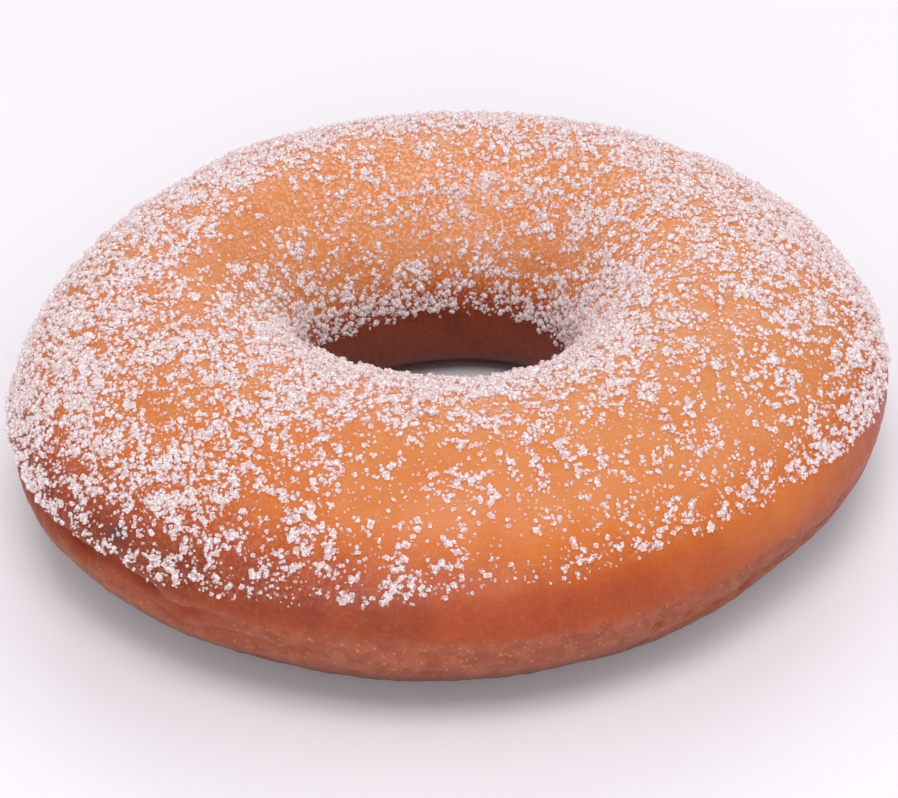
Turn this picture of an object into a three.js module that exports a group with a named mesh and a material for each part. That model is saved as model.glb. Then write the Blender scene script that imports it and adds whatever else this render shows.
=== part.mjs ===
// Ring doughnut: one closed ring of yeast dough, flat underneath and domed on top.
// Millimetres, +Z up. The origin is under the middle of the ring, level with its flat base.

import * as THREE from 'three';

// Cross-section of the ring, before its outline is made uneven.
const OUTER_RADIUS = 45;
const OUTER_WIDEST_HEIGHT = 11;
const CREST_RADIUS = 27;
const CREST_HEIGHT = 25.5;
const HOLE_RADIUS = 14;
const HOLE_WAIST_HEIGHT = 9.5;
const BASE_INNER_RADIUS = 16.5;
const BASE_OUTER_RADIUS = 33;

// Roundness of each quarter of the section: 2 is an ellipse, more is squarer.
const OUTER_SHOULDER_ROUNDNESS = 2.0;
const HOLE_SHOULDER_ROUNDNESS = 2.1;
const HOLE_FOOT_ROUNDNESS = 2.0;
const OUTER_FOOT_ROUNDNESS = 2.0;

// How the dough spread unevenly. Each swell is a share of the radius and is greatest towards its
// own angle, in degrees from +X towards +Y.
const THICK_SIDE_SWELL = 0.09;
const THICK_SIDE_ANGLE = -75;
const OVAL_SWELL = 0.05;
const OVAL_ANGLE = 25;
const THREE_CORNER_SWELL = 0.015;
const THREE_CORNER_ANGLE = -10;
const FOUR_CORNER_SWELL = 0.015;
const FOUR_CORNER_ANGLE = 15;
const HOLE_OVAL_SWELL = 0.06;
const HOLE_OVAL_ANGLE = 5;
const HOLE_THREE_CORNER_SWELL = 0.05;
const HOLE_THREE_CORNER_ANGLE = 50;

const STEPS_PER_QUARTER = 9;
const STEPS_AROUND = 90;

const crustMaterial = new THREE.MeshStandardMaterial({
  name: 'golden_crust',
  color: '#c98252',
  roughness: 0.6,
  metalness: 0,
});

// One quarter of the section, from its side point up (or down) to the crest (or base) level.
function quarterArc(side, level, roundness) {
  const power = 2 / roundness;
  const points = [];
  for (let step = 0; step <= STEPS_PER_QUARTER; step += 1) {
    const angle = (step / STEPS_PER_QUARTER) * (Math.PI / 2);
    const across = Math.max(Math.cos(angle), 0) ** power;
    const up = Math.sin(angle) ** power;
    points.push(new THREE.Vector2(
      level.x + (side.x - level.x) * across,
      side.y + (level.y - side.y) * up,
    ));
  }
  return points;
}

// The closed section, x as radius and y as height, starting and ending on the base's outer edge.
function ringSection() {
  const outerSide = new THREE.Vector2(OUTER_RADIUS, OUTER_WIDEST_HEIGHT);
  const holeSide = new THREE.Vector2(HOLE_RADIUS, HOLE_WAIST_HEIGHT);
  const crest = new THREE.Vector2(CREST_RADIUS, CREST_HEIGHT);
  const baseInner = new THREE.Vector2(BASE_INNER_RADIUS, 0);
  const baseOuter = new THREE.Vector2(BASE_OUTER_RADIUS, 0);

  const outerFoot = quarterArc(outerSide, baseOuter, OUTER_FOOT_ROUNDNESS).reverse();
  const outerShoulder = quarterArc(outerSide, crest, OUTER_SHOULDER_ROUNDNESS).slice(1);
  const holeShoulder = quarterArc(holeSide, crest, HOLE_SHOULDER_ROUNDNESS).reverse().slice(1);
  const holeFoot = quarterArc(holeSide, baseInner, HOLE_FOOT_ROUNDNESS).slice(1);
  return [...outerFoot, ...outerShoulder, ...holeShoulder, ...holeFoot, baseOuter];
}

// How far a swell with this many lobes widens the outline at an angle in degrees.
function swellAt(angle, lobes, swell, towards) {
  return swell * Math.cos(lobes * THREE.MathUtils.degToRad(angle - towards));
}

// How much wider than a true circle the outer edge is at an angle in degrees.
function outerScale(angle) {
  return 1
    + swellAt(angle, 1, THICK_SIDE_SWELL, THICK_SIDE_ANGLE)
    + swellAt(angle, 2, OVAL_SWELL, OVAL_ANGLE)
    + swellAt(angle, 3, THREE_CORNER_SWELL, THREE_CORNER_ANGLE)
    + swellAt(angle, 4, FOUR_CORNER_SWELL, FOUR_CORNER_ANGLE);
}

// How much wider than a true circle the hole is at an angle in degrees.
function holeScale(angle) {
  return 1
    + swellAt(angle, 2, HOLE_OVAL_SWELL, HOLE_OVAL_ANGLE)
    + swellAt(angle, 3, HOLE_THREE_CORNER_SWELL, HOLE_THREE_CORNER_ANGLE);
}

// Moves every point in plan, so the hole and the outer edge each get their own outline.
function makeOutlineUneven(geometry) {
  const position = geometry.attributes.position;
  for (let index = 0; index < position.count; index += 1) {
    const x = position.getX(index);
    const y = position.getY(index);
    const radius = Math.hypot(x, y);
    const angle = THREE.MathUtils.radToDeg(Math.atan2(y, x));
    const outerShare = (radius - HOLE_RADIUS) / (OUTER_RADIUS - HOLE_RADIUS);
    const scale = THREE.MathUtils.lerp(
      holeScale(angle),
      outerScale(angle),
      THREE.MathUtils.clamp(outerShare, 0, 1),
    );
    position.setXY(index, x * scale, y * scale);
  }
}

// Puts the middle of the ring's length and width over the origin.
function centreInPlan(geometry) {
  geometry.computeBoundingBox();
  const middle = geometry.boundingBox.getCenter(new THREE.Vector3());
  geometry.translate(-middle.x, -middle.y, 0);
}

function doughRing() {
  const geometry = new THREE.LatheGeometry(ringSection(), STEPS_AROUND);
  geometry.rotateX(Math.PI / 2);
  makeOutlineUneven(geometry);
  centreInPlan(geometry);
  geometry.computeVertexNormals();
  const ring = new THREE.Mesh(geometry, crustMaterial);
  ring.name = 'dough_ring';
  return ring;
}

const doughnut = new THREE.Group();
doughnut.name = 'ring_doughnut';
doughnut.add(doughRing());

export default doughnut;
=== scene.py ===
"""Sugared ring doughnut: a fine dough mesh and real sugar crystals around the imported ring.

Lengths are in metres. An angle around the ring is 0 at +X and 90 at +Y, the far side. An angle
round the ring's section is 0 facing outwards, 90 on top, 180 facing the hole and -90 on the base.
"""

import math

import bpy
import numpy as np
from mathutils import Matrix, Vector, noise
from mathutils.bvhtree import BVHTree


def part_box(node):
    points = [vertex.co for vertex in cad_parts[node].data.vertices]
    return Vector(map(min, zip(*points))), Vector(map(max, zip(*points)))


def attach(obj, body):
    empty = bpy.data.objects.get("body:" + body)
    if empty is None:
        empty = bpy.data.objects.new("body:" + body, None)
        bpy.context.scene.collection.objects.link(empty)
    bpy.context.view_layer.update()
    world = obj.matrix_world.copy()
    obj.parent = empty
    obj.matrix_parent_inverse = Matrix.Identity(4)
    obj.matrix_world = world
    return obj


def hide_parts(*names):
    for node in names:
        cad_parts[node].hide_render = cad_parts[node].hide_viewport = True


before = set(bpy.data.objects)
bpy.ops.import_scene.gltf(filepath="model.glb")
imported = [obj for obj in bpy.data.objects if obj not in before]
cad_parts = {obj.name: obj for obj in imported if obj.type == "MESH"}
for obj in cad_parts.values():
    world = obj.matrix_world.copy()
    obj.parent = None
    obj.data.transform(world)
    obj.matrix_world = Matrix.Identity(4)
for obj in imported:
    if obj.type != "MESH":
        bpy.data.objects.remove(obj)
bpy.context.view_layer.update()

MM = 0.001
RING_NODE = "dough_ring"
BOX_LOW, BOX_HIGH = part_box(RING_NODE)
RING_HEIGHT = BOX_HIGH.z - BOX_LOW.z
SECTION_CENTRE_HEIGHT = 0.43 * RING_HEIGHT

STEPS_AROUND = 480
STEPS_SECTION = 204
SEED = 7

# How far the fine surface is blurred, in steps of its grid, so that the facets of the CAD ring
# don't show: around the ring, and round its section.
FACET_BLUR_AROUND = 4
FACET_BLUR_SECTION = 3

# Brings the noise's usual range up to about -1 to 1.
NOISE_GAIN = 1.6

# Heights of the crust's small unevenness, in millimetres.
BROAD_LUMPS = 0.22
SMALL_LUMPS = 0.10
FINE_GRAIN = 0.035
WRINKLES = 0.05

# Sections of the outer side, in degrees, at angles around the ring: where the crust's matte foot
# begins, and how far down the sugar reaches.
FOOT_EDGE = {-175: 3, -120: 3, -90: 1, -60: 0, -45: 1, -30: -1, 0: -4, 60: 1, 120: -2}
SUGAR_EDGE = {
    -175: 6,
    -158: 6,
    -140: 7,
    -125: 6,
    -105: 12,
    -85: 19,
    -60: 21,
    -35: 17,
    -15: 8,
    20: 2,
    90: 6,
    140: 2,
}
HOLE_SUGAR_EDGE = {-90: 188, 0: 188, 50: 185, 90: 184, 130: 186, 180: 192}

# How much of the crust sugar covers, and where it lies thicker or thinner: (more or less, middle
# around and round the section, half size each way).
SUGAR_BASE = 0.56
SUGAR_PATCHES = (
    (-0.46, (-73, 38), (48, 48)),
    (0.14, (-50, 20), (34, 6)),
    (-0.16, (-95, 84), (26, 16)),
    (-0.16, (-101, 56), (18, 34)),
    (-0.16, (-35, 88), (40, 26)),
    (-0.20, (-24, 52), (20, 34)),
    (-0.34, (-134, 15), (20, 9)),
    (0.12, (-150, 48), (16, 18)),
    (-0.18, (-145, 72), (24, 24)),
    (-0.34, (-170, 112), (22, 12)),
    (-0.20, (-8, 115), (26, 18)),
    (-0.32, (155, 115), (24, 18)),
    (-0.30, (95, 112), (120, 14)),
    (-0.18, (95, 96), (40, 9)),
    (-0.42, (98, 148), (85, 25)),
    (0.30, (-95, 116), (75, 12)),
    (0.12, (-122, 8), (16, 5)),
    (-0.50, (-133, 15.5), (2, 3)),
)

# Sugar partly melted into the crust, which shows as soft pale blots: how much of it there is
# where grains cover the crust, and where there is more, laid out like the sugar's patches.
MELTED_SHARE = 0.28
MELTED_PATCH = (0.40, (90, 124), (90, 36))

# How dark the crust is, from 0 for golden to 1 for dark red-brown: everywhere, how much more at the
# shoulder and in the hole, and where it is darker or paler, laid out like the sugar's patches. It is
# baked colour, except that the extra darkness in the hole is partly browner crust and partly painted
# shade.
GOLDEN_BAKE = 0.12
SHOULDER_BAKE = 0.56
HOLE_BAKE_AND_SHADE = 0.74
BAKED_PATCHES = (
    (0.22, (-138, 18), (30, 20)),
    (0.12, (-100, 24), (30, 22)),
    (0.12, (-116, 48), (26, 28)),
    (0.10, (-160, 80), (50, 60)),
    (-0.26, (-40, 13), (14, 12)),
)

# Folds where the upper dough lies over the foot: (from, to) around, (from, to) round the section,
# depth and half width.
CREASES = (
    ((-178, -112), (3, -1), 2.4 * MM, 0.75 * MM),
    ((-134, -100), (-6, -10), 0.9 * MM, 0.55 * MM),
    ((-64, -6), (-17, -4), 0.7 * MM, 0.5 * MM),
    ((14, 68), (-4, 0), 1.0 * MM, 0.6 * MM),
    ((96, 158), (-1, -5), 1.3 * MM, 0.6 * MM),
)

# Burst bubbles: many small ones, and a few clear ones (angle around, angle round the section).
PIT_COUNT = 80
PIT_RADII = (0.25 * MM, 0.6 * MM)
CLEAR_PITS = ((-47, -15.5), (-57.5, -10), (-62.5, -10))
CLEAR_PIT_RADIUS = 0.5 * MM
CLEAR_PIT_DEPTH = 0.8 * MM

# A small dark bluish mark on the crust: its middle, and its half size each way.
BLEMISH = ((-132.8, 15.5), (1.1, 2.6))

# How high the painted shade near the base reaches, which darkens the crust to dark brown where the
# dough
# curves in towards the floor: full below the first height, none above the second, on the outer side
# and in the hole.
OUTER_BASE_SHADE = (3.5 * MM, 8.5 * MM)
HOLE_BASE_SHADE = (0.6 * MM, 4.5 * MM)

# How far the foot of the hole's wall is drawn in under the dough.
HOLE_TUCK = 0.8 * MM

# Grains of sugar: typical size, how far apart they fall where they cover the crust, and how far
# the crust lies below the ring's outer surface where they lie on it.
GRAIN_SIZE = 0.32 * MM
GRAIN_SPACING = 0.29 * MM
CRUMB_SIZES = (0.14 * MM, 0.28 * MM)
CRUMB_SPACING = 0.45 * MM
SUGAR_SINK = 0.25 * MM
SUGAR_PIECES = 10

# The faint glow that stands for light scattered inside the heaped crystals.
SUGAR_GLOW = 0.045


def srgb(red, green, blue):
    """A colour given in 0 to 255 as screens show it, in the linear values that shaders take."""
    shown = np.array([red, green, blue]) / 255
    linear = np.where(shown <= 0.04045, shown / 12.92, ((shown + 0.055) / 1.055) ** 2.4)
    return (*linear.tolist(), 1.0)


# ---------------------------------------------------------------- shape of the ring


def angle_gap(angle, middle):
    """How far angle is past middle, in degrees from -180 to 180."""
    return (angle - middle + 180) % 360 - 180


def smooth_step(value, low, high):
    share = np.clip((value - low) / (high - low), 0, 1)
    return share * share * (3 - 2 * share)


def around_curve(points, around):
    """A value for each angle around the ring, from a few points joined by straight lines."""
    angles = np.array(sorted(points))
    values = np.array([points[angle] for angle in angles], float)
    return np.interp(around, angles, values, period=360)


def patch(around, section, middle, half_size):
    """1 at a place on the ring, falling off softly over half_size degrees each way."""
    across = angle_gap(around, middle[0]) / half_size[0]
    up = angle_gap(section, middle[1]) / half_size[1]
    return np.exp(-(across**2) - up**2)


def noise_at(points, size, shift=0.0):
    """Smooth noise from about -1 to 1 at each point, with lumps of about the given size."""
    flat = points.reshape(-1, 3) / size + shift
    values = [noise.noise(Vector(point)) for point in flat.tolist()]
    return np.array(values).reshape(points.shape[:-1]) * NOISE_GAIN


def section_steps():
    """Angles round the section, closer together on the creased outer foot."""
    angles = np.linspace(-180, 180, 3601)
    closeness = 1 + 1.8 * np.exp(-(((angles + 4) / 26) ** 2))
    total = np.concatenate([[0], np.cumsum((closeness[1:] + closeness[:-1]) / 2)])
    wanted = np.linspace(0, total[-1], STEPS_SECTION, endpoint=False)
    return np.interp(wanted, total, angles)


def hit_distance(tree, start, direction):
    return tree.ray_cast(Vector(start), Vector(direction))[3]


def hole_centre(tree, level):
    """The middle of the hole, found from rays cast at its wall."""
    middle = np.array([0.0, 0.0, level])
    for _ in range(4):
        hits = []
        for angle in np.radians(np.arange(0, 360, 4)):
            direction = np.array([math.cos(angle), math.sin(angle), 0])
            hits.append(middle + direction * hit_distance(tree, middle, direction))
        middle = np.mean(hits, axis=0)
    return middle


def smoothed(field, steps_around, steps_section):
    """The field with its facets blurred away, round both ways of the ring."""
    waves_around = np.fft.fftfreq(field.shape[0]) * 2 * math.pi * steps_around
    waves_section = np.fft.fftfreq(field.shape[1]) * 2 * math.pi * steps_section
    keep = np.exp(-(waves_around[:, None] ** 2 + waves_section[None, :] ** 2) / 2)
    return np.fft.ifft2(np.fft.fft2(field) * keep).real


def ring_surface():
    """The CAD ring as a fine smooth grid: points, and their angles around and round the section."""
    depsgraph = bpy.context.evaluated_depsgraph_get()
    tree = BVHTree.FromObject(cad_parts[RING_NODE], depsgraph)
    middle = hole_centre(tree, SECTION_CENTRE_HEIGHT)
    around = np.linspace(-180, 180, STEPS_AROUND, endpoint=False)
    section = section_steps()
    outside = 1.0
    centres = np.zeros((STEPS_AROUND, 3))
    distances = np.zeros((STEPS_AROUND, STEPS_SECTION))
    for row, angle in enumerate(np.radians(around)):
        outward = np.array([math.cos(angle), math.sin(angle), 0])
        inner = hit_distance(tree, middle, outward)
        outer = outside - hit_distance(tree, middle + outward * outside, -outward)
        centres[row] = middle + outward * (inner + outer) / 2
    axes = [smoothed(part[:, None], FACET_BLUR_AROUND, 0)[:, 0] for part in centres.T]
    centres = np.stack(axes, axis=1)
    for row, angle in enumerate(np.radians(around)):
        outward = np.array([math.cos(angle), math.sin(angle), 0])
        for column, turn in enumerate(np.radians(section)):
            direction = outward * math.cos(turn) + np.array([0, 0, math.sin(turn)])
            distances[row, column] = hit_distance(tree, centres[row], direction)
    distances = smoothed(distances, FACET_BLUR_AROUND, FACET_BLUR_SECTION)
    angle, turn = np.meshgrid(np.radians(around), np.radians(section), indexing="ij")
    reach = distances * np.cos(turn)
    rise = distances * np.sin(turn)
    offsets = np.stack([reach * np.cos(angle), reach * np.sin(angle), rise], -1)
    return centres[:, None, :] + offsets, np.degrees(angle), np.degrees(turn)


def grid_normals(points):
    """Outward normals of the ring's grid, from its neighbouring points."""
    along = np.roll(points, -1, 0) - np.roll(points, 1, 0)
    across = np.roll(points, -1, 1) - np.roll(points, 1, 1)
    normals = np.cross(along, across)
    return normals / np.linalg.norm(normals, axis=-1, keepdims=True)


def crease_field(points, around, section):
    """How deep the folds cut, and how far the dough above each one bulges over it."""
    cut = np.zeros(around.shape)
    bulge = np.zeros(around.shape)
    tube_radius = RING_HEIGHT / 2
    wander = 2.2 * noise_at(points, 7 * MM, 3.1) + 0.9 * noise_at(points, 2.2 * MM, 8.7)
    for (start, stop), (section_start, section_stop), depth, half_width in CREASES:
        share = angle_gap(around, start) / (stop - start)
        inside = smooth_step(share, 0, 0.18) * (1 - smooth_step(share, 0.75, 1))
        middle = section_start + (section_stop - section_start) * share + wander
        gap = np.radians(angle_gap(section, middle)) * tube_radius
        broken = 0.75 + 0.4 * noise_at(points, 3 * MM, start)
        cut += inside * depth * np.clip(broken, 0, 1) * np.exp(-((gap / half_width) ** 2))
        bulge += inside * 0.25 * depth * np.exp(-(((gap - 1.7 * MM) / (1.5 * MM)) ** 2))
    return cut, bulge


def pit(points, row, column, radius, stretch, depth):
    """How deep one burst bubble cuts, stretched along the ring."""
    gap = points - points[row, column]
    flat = np.hypot(gap[..., 0], gap[..., 1])
    distance = np.sqrt((flat / stretch) ** 2 + gap[..., 2] ** 2) / radius
    return depth * np.exp(-(distance**2))


def pit_field(points, around, section, random):
    """Burst bubbles in the foot of the crust: the clear ones, and small ones near the folds."""
    cut = np.zeros(around.shape)
    for place_around, place_section in CLEAR_PITS:
        row = np.abs(angle_gap(around[:, 0], place_around)).argmin()
        column = np.abs(angle_gap(section[row], place_section)).argmin()
        clear = pit(points, row, column, CLEAR_PIT_RADIUS, 1.3, CLEAR_PIT_DEPTH)
        cut = np.maximum(cut, clear)
    foot = around_curve(FOOT_EDGE, around[:, 0])
    for _ in range(PIT_COUNT):
        row = random.integers(STEPS_AROUND)
        place = foot[row] - abs(random.normal(6, 9))
        column = np.abs(angle_gap(section[row], place)).argmin()
        radius = random.uniform(*PIT_RADII)
        stretch = random.uniform(1.0, 2.0)
        depth = radius * random.uniform(0.4, 0.8)
        cut = np.maximum(cut, pit(points, row, column, radius, stretch, depth))
    return cut


def shape_dough():
    """The dough's surface, with its lumps, folds and pits, and what the crust's colours follow."""
    random = np.random.default_rng(SEED)
    points, around, section = ring_surface()
    normals = grid_normals(points)
    above_base = smooth_step(points[..., 2], 0.2 * MM, 2 * MM)
    cut, bulge = crease_field(points, around, section)
    pits = pit_field(points, around, section, random)
    lumps = BROAD_LUMPS * noise_at(points, 16 * MM) + SMALL_LUMPS * noise_at(points, 6 * MM, 5.5)
    grain = FINE_GRAIN * noise_at(points, 1.6 * MM, 2.2)
    upper = smooth_step(section, 8, 30)
    stretch = np.stack([around / 1.1, section / 14, 0 * section], -1)
    wrinkles = WRINKLES * noise_at(stretch, 1.0, 4.4) * (1 - upper)
    move = (lumps + grain + wrinkles) * MM + bulge - cut - pits
    move -= SUGAR_SINK * sugar_cover(around, section)
    points = points + normals * (move * above_base)[..., None]
    points[..., 2] = np.maximum(points[..., 2], 0)
    tuck = HOLE_TUCK * (1 - smooth_step(points[..., 2], 0, 3.5 * MM))
    tuck *= smooth_step(np.abs(section), 110, 140)
    points[..., 0] += tuck * np.cos(np.radians(around))
    points[..., 1] += tuck * np.sin(np.radians(around))
    return {
        "points": points,
        "normals": grid_normals(points),
        "around": around,
        "section": section,
        # Painted shade in the folds and pits: the deeper the cut, the darker red the crust is painted.
        "groove_shade": np.clip(cut / (1.1 * MM) + pits / (0.9 * MM), 0, 1),
    }


# ---------------------------------------------------------------- where the crust is baked and sugared


def foot_share(around, section):
    """1 on the matte foot of the crust and the base, 0 above."""
    edge = around_curve(FOOT_EDGE, around)
    below = 1 - smooth_step(section, edge - 2, edge + 3)
    facing_hole = smooth_step(np.abs(section), 125, 150)
    return below * (1 - facing_hole)


def bake_and_shade_depth(around, section):
    """How dark the crust is, from 0 for golden to 1 for dark red-brown, with the hole darker partly
    from baking and partly from painted shade.
    """
    turned = section % 360
    depth = GOLDEN_BAKE + SHOULDER_BAKE * patch(around, section, (0, 6), (900, 23))
    # In the hole: partly browner crust and partly painted shade.
    depth += HOLE_BAKE_AND_SHADE * smooth_step(turned, 160, 188) * (1 - smooth_step(turned, 235, 262))
    for more, middle, half_size in BAKED_PATCHES:
        depth += more * patch(around, section, middle, half_size)
    return depth


def base_shade_share(points, section):
    """1 close to the base, where painted shade darkens the crust into the undercut, 0 above it."""
    height = points[..., 2]
    outer = 1 - smooth_step(height, *OUTER_BASE_SHADE)
    hole = 1 - smooth_step(height, *HOLE_BASE_SHADE)
    return np.where(np.abs(section) < 90, outer, hole)


def sugar_cover(around, section):
    """The share of the crust that sugar covers, from 0 to 1."""
    turned = section % 360
    cover = SUGAR_BASE + 0 * around
    for more, middle, half_size in SUGAR_PATCHES:
        cover += more * patch(around, section, middle, half_size)
    lower = around_curve(SUGAR_EDGE, around)
    inside = smooth_step(turned, lower - 1, lower + 4) * (turned < 200)
    hole_edge = around_curve(HOLE_SUGAR_EDGE, around)
    inside = inside * (1 - smooth_step(turned, hole_edge - 3, hole_edge + 3))
    return np.clip(cover, 0.02, 1) * inside


def melted_share(around, section):
    """How strongly sugar melted into the crust shows, from 0 to 1."""
    more, middle, half_size = MELTED_PATCH
    cover = sugar_cover(around, section)
    extra = more * patch(around, section, middle, half_size) * (cover > 0)
    return MELTED_SHARE * cover + extra


# ---------------------------------------------------------------- shader helpers


def new_material(name):
    material = bpy.data.materials.new(name)
    material.use_nodes = True
    tree = material.node_tree
    return material, tree, tree.nodes["Principled BSDF"]


def add_node(tree, kind, **settings):
    node = tree.nodes.new("ShaderNode" + kind)
    for name, value in settings.items():
        setattr(node, name, value)
    return node


def plug(tree, source, node, socket):
    """Links a node's output to a socket, or sets the socket to a plain value."""
    if isinstance(source, bpy.types.NodeSocket):
        tree.links.new(source, node.inputs[socket])
    else:
        node.inputs[socket].default_value = source


def math_node(tree, operation, *values):
    node = add_node(tree, "Math", operation=operation)
    for index, value in enumerate(values):
        plug(tree, value, node, index)
    return node.outputs[0]


def mix_colour(tree, share, first, second):
    node = add_node(tree, "Mix", data_type="RGBA")
    plug(tree, share, node, 0)
    plug(tree, first, node, 6)
    plug(tree, second, node, 7)
    return node.outputs[2]


def ramp(tree, value, stops):
    """A colour ramp through (position, colour) stops."""
    node = add_node(tree, "ValToRGB")
    elements = node.color_ramp.elements
    while len(elements) < len(stops):
        elements.new(0.5)
    for element, (position, colour) in zip(elements, stops):
        element.position = position
        element.color = colour
    plug(tree, value, node, 0)
    return node.outputs[0]


def noise_node(tree, size, detail=3.0, roughness=0.55, stretch=(1, 1, 1)):
    """Noise over the piece's own coordinates, with lumps of about the given size."""
    coordinates = add_node(tree, "TexCoord")
    mapping = add_node(tree, "Mapping")
    mapping.inputs["Scale"].default_value = stretch
    tree.links.new(coordinates.outputs["Object"], mapping.inputs["Vector"])
    node = add_node(tree, "TexNoise")
    tree.links.new(mapping.outputs["Vector"], node.inputs["Vector"])
    node.inputs["Scale"].default_value = 1 / size
    node.inputs["Detail"].default_value = detail
    node.inputs["Roughness"].default_value = roughness
    return node.outputs[0]


def spots(tree, size, low, high):
    """Small round spots, 1 in the middle of each and 0 between them."""
    coordinates = add_node(tree, "TexCoord")
    node = add_node(tree, "TexVoronoi")
    tree.links.new(coordinates.outputs["Object"], node.inputs["Vector"])
    node.inputs["Scale"].default_value = 1 / size
    return remap(tree, node.outputs["Distance"], high, low)


def remap(tree, value, low, high, top=1.0):
    """0 to top as the value goes from low to high, which may run downwards."""
    node = add_node(tree, "MapRange", interpolation_type="SMOOTHSTEP")
    plug(tree, value, node, "Value")
    node.inputs["From Min"].default_value = low
    node.inputs["From Max"].default_value = high
    node.inputs["To Max"].default_value = top
    return node.outputs[0]


def attribute(tree, name):
    return add_node(tree, "Attribute", attribute_name=name).outputs["Fac"]


# ---------------------------------------------------------------- materials

GOLDEN = srgb(208, 137, 82)
ORANGE = srgb(196, 104, 33)
RED_BROWN = srgb(162, 64, 17)
DARK_BROWN = srgb(100, 31, 12)
FOOT_BROWN = srgb(160, 86, 60)
FOOT_DARK = srgb(139, 66, 39)
FOOT_SPECK = srgb(198, 142, 104)
# Painted shade: the darker red painted into the folds and pits.
GROOVE_SHADE_RED = srgb(150, 58, 22)
# Painted shade: the dark brown the crust is painted near the base, in the undercut.
UNDERCUT_SHADE_BROWN = srgb(84, 36, 18)
MELTED_SUGAR = srgb(241, 199, 182)
BLEMISH_GREY = srgb(78, 54, 62)


def crust_material():
    material, tree, shader = new_material("crust")
    mottle = noise_node(tree, 5 * MM, detail=5.0, roughness=0.6)
    fine = noise_node(tree, 0.5 * MM, detail=2.0)
    uneven = math_node(tree, "MULTIPLY_ADD", mottle, 0.34, -0.17)
    # The bake value carries the crust's baked colour and, in the hole, painted shade as well.
    baked = math_node(tree, "ADD", attribute(tree, "bake"), uneven)
    stops = ((0.0, GOLDEN), (0.32, ORANGE), (0.66, RED_BROWN), (1.0, DARK_BROWN))
    crust = ramp(tree, baked, stops)
    crust = mix_colour(tree, remap(tree, fine, 0.45, 0.75, 0.1), crust, GOLDEN)

    mealy = remap(tree, noise_node(tree, 1.6 * MM), 0.3, 0.7)
    foot = mix_colour(tree, mealy, FOOT_BROWN, FOOT_DARK)
    specks = spots(tree, 0.5 * MM, 0.1, 0.4)
    specks = math_node(tree, "MULTIPLY", specks, remap(tree, fine, 0.42, 0.62, 0.7))
    foot = mix_colour(tree, specks, foot, FOOT_SPECK)

    colour = mix_colour(tree, attribute(tree, "foot"), crust, foot)
    # Painted shade in the folds and pits, darker where they cut deeper.
    colour = mix_colour(tree, attribute(tree, "groove_shade"), colour, GROOVE_SHADE_RED)
    # Painted shade near the base, where the dough curves under towards the floor.
    under = math_node(tree, "MULTIPLY", attribute(tree, "under"), 0.85)
    colour = mix_colour(tree, under, colour, UNDERCUT_SHADE_BROWN)
    blots = remap(tree, noise_node(tree, 0.4 * MM, detail=1.0), 0.46, 0.62)
    melted = math_node(tree, "MULTIPLY", attribute(tree, "melted"), blots)
    colour = mix_colour(tree, melted, colour, MELTED_SUGAR)
    colour = mix_colour(tree, attribute(tree, "blemish"), colour, BLEMISH_GREY)
    plug(tree, colour, shader, "Base Color")

    rough = math_node(tree, "MULTIPLY_ADD", attribute(tree, "foot"), 0.16, 0.42)
    plug(tree, rough, shader, "Roughness")
    shader.inputs["Subsurface Weight"].default_value = 0.12
    shader.inputs["Subsurface Radius"].default_value = (1.0, 0.4, 0.15)
    shader.inputs["Subsurface Scale"].default_value = 1.2 * MM
    shader.inputs["IOR"].default_value = 1.42

    raised_specks = math_node(tree, "MULTIPLY", specks, 0.5)
    height = math_node(tree, "ADD", noise_node(tree, 0.35 * MM, detail=4.0), raised_specks)
    relief = add_node(tree, "Bump")
    relief.inputs["Strength"].default_value = 0.35
    relief.inputs["Distance"].default_value = 0.12 * MM
    plug(tree, height, relief, "Height")
    plug(tree, relief.outputs[0], shader, "Normal")
    return material


def sugar_material(name, colour, shade, alpha, roughness):
    """Sugar whose crystals differ a little from each other in whiteness."""
    material, tree, shader = new_material(name)
    mottle = remap(tree, noise_node(tree, 1.1 * MM, detail=1.0), 0.35, 0.65)
    plug(tree, mix_colour(tree, mottle, colour, shade), shader, "Base Color")
    shader.inputs["Roughness"].default_value = roughness
    shader.inputs["Alpha"].default_value = alpha
    shader.inputs["IOR"].default_value = 1.54
    shader.inputs["Emission Color"].default_value = srgb(255, 226, 222)
    shader.inputs["Emission Strength"].default_value = SUGAR_GLOW
    return material


# ---------------------------------------------------------------- pieces


def add_piece(name, mesh):
    piece = bpy.data.objects.new(name, mesh)
    bpy.context.scene.collection.objects.link(piece)
    return piece


def mesh_from_arrays(name, vertices, corners, face_sizes):
    """A mesh from flat arrays: vertices, each face's corner indices in a row, and face sizes."""
    mesh = bpy.data.meshes.new(name)
    mesh.vertices.add(len(vertices))
    mesh.vertices.foreach_set("co", vertices.astype(np.float32).ravel())
    mesh.loops.add(len(corners))
    mesh.loops.foreach_set("vertex_index", corners.astype(np.int32))
    mesh.polygons.add(len(face_sizes))
    starts = np.concatenate([[0], np.cumsum(face_sizes)[:-1]])
    mesh.polygons.foreach_set("loop_start", starts.astype(np.int32))
    mesh.update(calc_edges=True)
    return mesh


def add_map(mesh, corner_places):
    layer = mesh.uv_layers.new(name="OFBake")
    layer.data.foreach_set("uv", corner_places.astype(np.float32).ravel())


def add_values(mesh, name, values):
    layer = mesh.attributes.new(name, "FLOAT", "POINT")
    layer.data.foreach_set("value", values.astype(np.float32).ravel())


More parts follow.
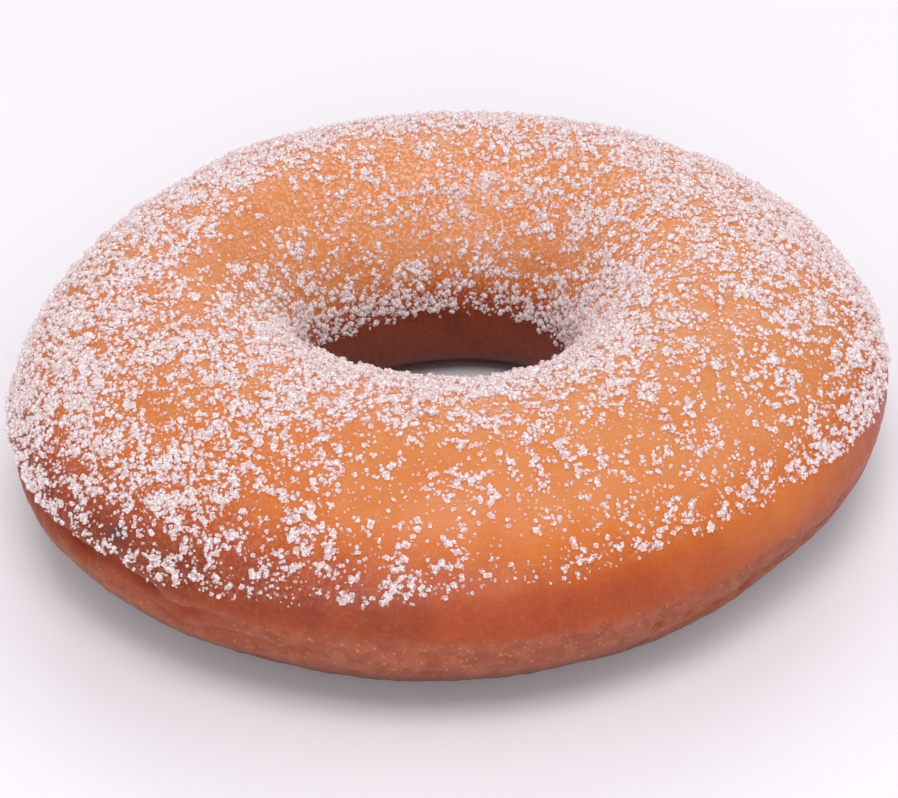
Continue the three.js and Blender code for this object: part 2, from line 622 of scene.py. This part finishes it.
def build_dough(dough):
    rows, columns = dough["around"].shape
    row, column = np.meshgrid(np.arange(rows), np.arange(columns), indexing="ij")
    steps = np.array([[0, 0], [1, 0], [1, 1], [0, 1]])
    corner_row = row[..., None] + steps[:, 0]
    corner_column = column[..., None] + steps[:, 1]
    corners = (corner_row % rows) * columns + corner_column % columns
    faces = np.full(rows * columns, 4)
    mesh = mesh_from_arrays("dough", dough["points"].reshape(-1, 3), corners.ravel(), faces)
    add_map(mesh, np.stack([corner_row.ravel() / rows, corner_column.ravel() / columns], -1))
    around, section = dough["around"], dough["section"]
    # Baked colour, with painted shade added in the hole.
    add_values(mesh, "bake", bake_and_shade_depth(around, section))
    add_values(mesh, "foot", foot_share(around, section))
    # How strongly the painted shade near the base darkens the crust.
    add_values(mesh, "under", base_shade_share(dough["points"], section))
    add_values(mesh, "groove_shade", dough["groove_shade"])
    add_values(mesh, "melted", melted_share(around, section))
    add_values(mesh, "blemish", patch(around, section, *BLEMISH))
    mesh.shade_smooth()
    piece = add_piece("dough", mesh)
    piece.data.materials.append(crust_material())
    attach(piece, "root")
    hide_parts(RING_NODE)


def crystal_shape():
    """A unit block with its corners cut off: points, and faces as (corner numbers, is a cut)."""
    ends = (-0.5, 0.5)
    edges = [(0, first, second) for first in ends for second in ends]
    points = np.array([np.roll(edge, axis) for axis in range(3) for edge in edges])
    faces = []
    for axis in range(3):
        for end in ends:
            faces.append((np.flatnonzero(points[:, axis] == end), False))
    for corner in np.ndindex(2, 2, 2):
        direction = 2 * np.array(corner) - 1
        faces.append((np.flatnonzero(points @ direction == 1), True))
    return points, [(turned_outwards(points, face), cut) for face, cut in faces]


def turned_outwards(points, face):
    """A face's corners in order round it, anticlockwise from outside."""
    middle = points[face].mean(axis=0)
    normal = middle / np.linalg.norm(middle)
    side = points[face[0]] - middle
    side = side / np.linalg.norm(side)
    other = np.cross(normal, side)
    gaps = points[face] - middle
    return face[np.argsort(np.arctan2(gaps @ other, gaps @ side))]


def scatter(dough, spacing, random):
    """Random places all over the ring, this far apart on average: points, normals, sugar cover."""
    points, normals = dough["points"], dough["normals"]
    along = np.linalg.norm(np.roll(points, -1, 0) - points, axis=-1)
    across = np.linalg.norm(np.roll(points, -1, 1) - points, axis=-1)
    cover = sugar_cover(dough["around"], dough["section"])
    count = random.poisson(along * across / spacing**2 * (cover > 0))
    row, column = np.nonzero(count)
    times = count[row, column]
    row, column = np.repeat(row, times), np.repeat(column, times)
    share_around, share_section = random.random((2, len(row)))
    next_row, next_column = (row + 1) % points.shape[0], (column + 1) % points.shape[1]

    def between(field):
        corner = field[row, column]
        towards_row = (field[next_row, column] - corner) * share_around[:, None]
        towards_column = (field[row, next_column] - corner) * share_section[:, None]
        return corner + towards_row + towards_column

    return between(points), between(normals), cover[row, column]


def clumped_places(dough, random):
    """Where the grains lie: in clumps, and stacked two high where they cover the crust well."""
    place, normal, cover = scatter(dough, GRAIN_SPACING, random)
    cluster = noise_at(place, 1.1 * MM, 1.3) + 0.6 * noise_at(place, 3.6 * MM, 6.1)
    cluster += 0.55 * random.normal(size=len(place))
    margin = cover - cluster.argsort().argsort() / len(cluster)
    place, normal, margin = place[margin > 0], normal[margin > 0], margin[margin > 0]
    stacked = random.random(len(place)) < np.clip(margin - 0.1, 0, 0.35)
    place = np.concatenate([place, place[stacked] + normal[stacked] * 0.75 * GRAIN_SIZE])
    size = np.clip(random.lognormal(0, 0.3, len(place)), 0.45, 2.1) * GRAIN_SIZE
    return place, np.concatenate([normal, normal[stacked]]), size


def loose_places(dough, random):
    """Where the finest crumbs of sugar lie, singly and more evenly than the grains."""
    place, normal, cover = scatter(dough, CRUMB_SPACING, random)
    kept = random.random(len(place)) < 0.7 * cover + 0.12
    return place[kept], normal[kept], random.uniform(*CRUMB_SIZES, kept.sum())


def grain_frames(normal, random):
    """Three axes for each grain: near the surface's own, with a tilt, and turned at random."""
    lean = normal + random.normal(scale=0.45, size=normal.shape)
    upward = lean / np.linalg.norm(lean, axis=1, keepdims=True)
    side = np.cross(upward, random.normal(size=normal.shape))
    side /= np.linalg.norm(side, axis=1, keepdims=True)
    return np.stack([side, np.cross(upward, side), upward], axis=1)


def grain_mesh(name, vertices, crumb, template, faces):
    """One mesh of many grains and crumbs; each one has its own small square of the bake's map."""
    grains = len(vertices)
    corner_list = np.concatenate([face for face, _ in faces])
    sizes = np.array([len(face) for face, _ in faces])
    cuts = np.array([cut for _, cut in faces])
    corners = corner_list[None, :] + np.arange(grains)[:, None] * len(template)
    vertices = vertices.reshape(-1, 3)
    mesh = mesh_from_arrays(name, vertices, corners.ravel(), np.tile(sizes, grains))
    material_index = np.where(crumb[:, None], 2, cuts[None, :])
    mesh.polygons.foreach_set("material_index", material_index.astype(np.int32).ravel())
    across = math.ceil(math.sqrt(grains))
    cell = np.stack([np.arange(grains) % across, np.arange(grains) // across], -1)
    inside = 0.5 + 0.7 * template[corner_list][:, :2]
    add_map(mesh, (cell[:, None, :] + inside[None, :, :]) / across)
    return mesh


def build_sugar(dough):
    random = np.random.default_rng(SEED + 1)
    kinds = (clumped_places(dough, random), loose_places(dough, random))
    place, normal, size = (np.concatenate(parts) for parts in zip(*kinds))
    crumb = np.arange(len(place)) >= len(kinds[0][0])
    shape = random.uniform((0.9, 0.75, 0.55), (1.45, 1.2, 1.0), (len(place), 3))
    axes = grain_frames(normal, random)
    centre = place + normal * (size * random.uniform(0.12, 0.4, len(place)))[:, None]
    template, faces = crystal_shape()
    jitter = random.normal(scale=0.07, size=(len(place), len(template), 3))
    local = (template + jitter) * (shape * size[:, None])[:, None, :]
    vertices = np.einsum("gvi,gij->gvj", local, axes) + centre[:, None, :]
    vertices[..., 2] = np.maximum(vertices[..., 2], 0.02 * MM)
    materials = (
        sugar_material("sugar_face", srgb(250, 236, 236), srgb(244, 218, 218), 0.42, 0.28),
        sugar_material("sugar_edge", srgb(252, 244, 245), srgb(247, 230, 231), 0.78, 0.45),
        sugar_material("sugar_crumb", srgb(250, 230, 226), srgb(243, 212, 204), 0.42, 0.4),
    )
    order = np.argsort(np.arctan2(place[:, 1], place[:, 0]))
    for index, chosen in enumerate(np.array_split(order, SUGAR_PIECES)):
        name = f"sugar_{index + 1}"
        mesh = grain_mesh(name, vertices[chosen], crumb[chosen], template, faces)
        for material in materials:
            mesh.materials.append(material)
        piece = add_piece(name, mesh)
        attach(piece, "root")


# ---------------------------------------------------------------- floor, lights and camera


FLOOR_SIZE = 6.0
WORLD_STRENGTH = 0.46

# Soft rectangles of light, all aimed at the origin: where each one is, its size and its power.
SOFTBOXES = {
    "overhead": ((0, -0.2, 0.6), (0.3, 0.3), 1.6),
    "front": ((0, -0.6, 0.28), (0.6, 0.25), 1.75),
    "left": ((-0.5, 0, 0.38), (0.6, 0.35), 0.45),
    "right": ((0.5, 0, 0.38), (0.6, 0.35), 0.65),
    "back": ((0, 0.5, 0.38), (0.6, 0.35), 1.1),
}

# The camera's distance and elevation are counted from its target. Its aim is then turned a little
# below the target and to the right of it.
CAMERA_TARGET = (-1.1 * MM, 3.6 * MM, 13 * MM)
CAMERA_DISTANCE = 0.35
CAMERA_ELEVATION = math.radians(35)
LOWER_AIM = math.radians(0.86)
RIGHT_AIM = math.radians(0.12)
LENS = 129
SENSOR_WIDTH = 36


def build_floor():
    mesh = bpy.data.meshes.new("floor")
    half = FLOOR_SIZE / 2
    corners = [(-half, -half, 0), (half, -half, 0), (half, half, 0), (-half, half, 0)]
    mesh.from_pydata(corners, [], [(0, 1, 2, 3)])
    floor = add_piece("floor", mesh)
    material, tree, shader = new_material("floor")
    tint = mix_colour(tree, noise_node(tree, 0.2), srgb(236, 232, 236), srgb(234, 231, 236))
    plug(tree, tint, shader, "Base Color")
    shader.inputs["Roughness"].default_value = 0.55
    floor.data.materials.append(material)


def add_softbox(name, place, size, power):
    """A soft rectangle of light aimed at the origin."""
    light = bpy.data.lights.new(name, "AREA")
    light.shape = "RECTANGLE"
    light.size, light.size_y = size
    light.energy = power
    box = bpy.data.objects.new(name, light)
    box.location = place
    box.rotation_euler = (-Vector(place)).to_track_quat("-Z", "Y").to_euler()
    bpy.context.scene.collection.objects.link(box)


def build_lights():
    world = bpy.data.worlds.new("studio")
    bpy.context.scene.world = world
    world.use_nodes = True
    background = world.node_tree.nodes["Background"]
    background.inputs["Color"].default_value = srgb(248, 246, 252)
    background.inputs["Strength"].default_value = WORLD_STRENGTH
    for name, (place, size, power) in SOFTBOXES.items():
        add_softbox(name, place, size, power)


def build_camera():
    """Looks along +Y and down at the doughnut."""
    target = Vector(CAMERA_TARGET)
    forward = Vector((0, math.cos(CAMERA_ELEVATION), -math.sin(CAMERA_ELEVATION)))
    data = bpy.data.cameras.new("camera")
    data.sensor_width = SENSOR_WIDTH
    data.lens = LENS
    camera = bpy.data.objects.new("camera", data)
    camera.location = target - forward * CAMERA_DISTANCE
    tilt = math.pi / 2 - CAMERA_ELEVATION - LOWER_AIM
    camera.rotation_euler = (tilt, 0, -RIGHT_AIM)
    bpy.context.scene.collection.objects.link(camera)
    bpy.context.scene.camera = camera


bpy.context.scene.view_settings.view_transform = "Standard"
bpy.context.scene.cycles.transparent_max_bounces = 16
build_camera()
build_floor()
build_lights()
surface = shape_dough()
build_dough(surface)
build_sugar(surface)
